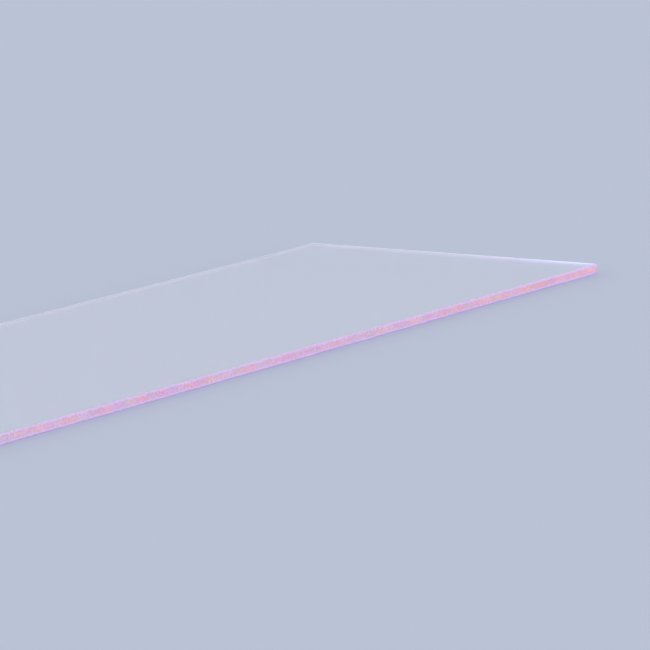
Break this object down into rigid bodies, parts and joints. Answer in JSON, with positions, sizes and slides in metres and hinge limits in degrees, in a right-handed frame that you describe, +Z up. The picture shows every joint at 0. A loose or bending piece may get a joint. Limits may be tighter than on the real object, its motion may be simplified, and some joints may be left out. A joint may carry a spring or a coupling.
{
  "type": "quartz plate",
  "caption": "Long thin rectangular plate of clear fused quartz with polished faces, matt ground sides, bevelled arrises and eased corners.",
  "frame": {"origin": "centre of the lower face, on the surface the plate lies on", "axes": "+X along the length, +Y across the width, +Z up through the thickness"},
  "size_m": [0.5, 0.1, 0.003],
  "materials": {
    "fused_quartz": "clear polished faces, matt ground sides and arrises"
  },
  "bodies": {
    "root": {"quartz_plate": "fused_quartz"}
  },
  "joints": []
}
